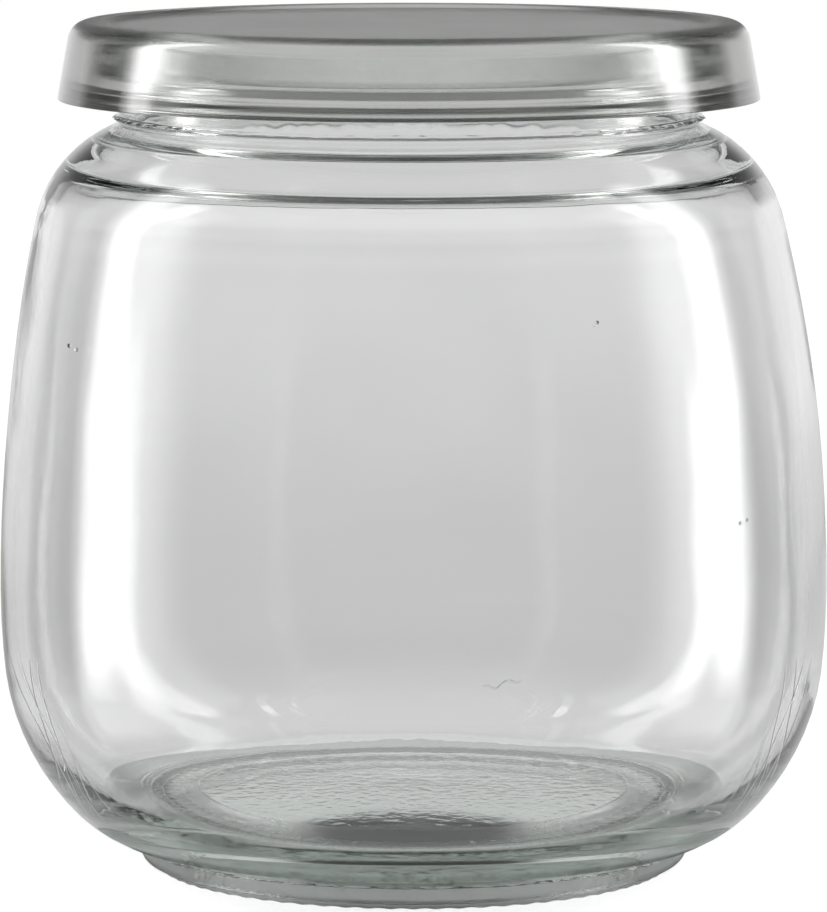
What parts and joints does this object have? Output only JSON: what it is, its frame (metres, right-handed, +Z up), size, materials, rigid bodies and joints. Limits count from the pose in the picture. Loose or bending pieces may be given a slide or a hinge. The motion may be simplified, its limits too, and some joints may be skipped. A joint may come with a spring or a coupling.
{
  "type": "glass jar with plastic lid",
  "caption": "Squat round-bellied clear glass storage jar with a foot ring, short neck and wide mouth, closed by a push-on flared plastic lid.",
  "frame": {"origin": "centre of the foot ring, on the plane that the jar stands on", "axes": "+Z up along the axis of the jar; the jar is round, so X and Y are free"},
  "size_m": [0.12, 0.12, 0.123],
  "materials": {
    "clear_glass": "clear pressed glass with a faint green-grey cast in the thick base",
    "clear_lid_plastic": "clear soft plastic, faintly grey, smooth"
  },
  "bodies": {
    "root": {"glass_jar": "clear_glass", "plastic_lid": "clear_lid_plastic"}
  },
  "joints": []
}
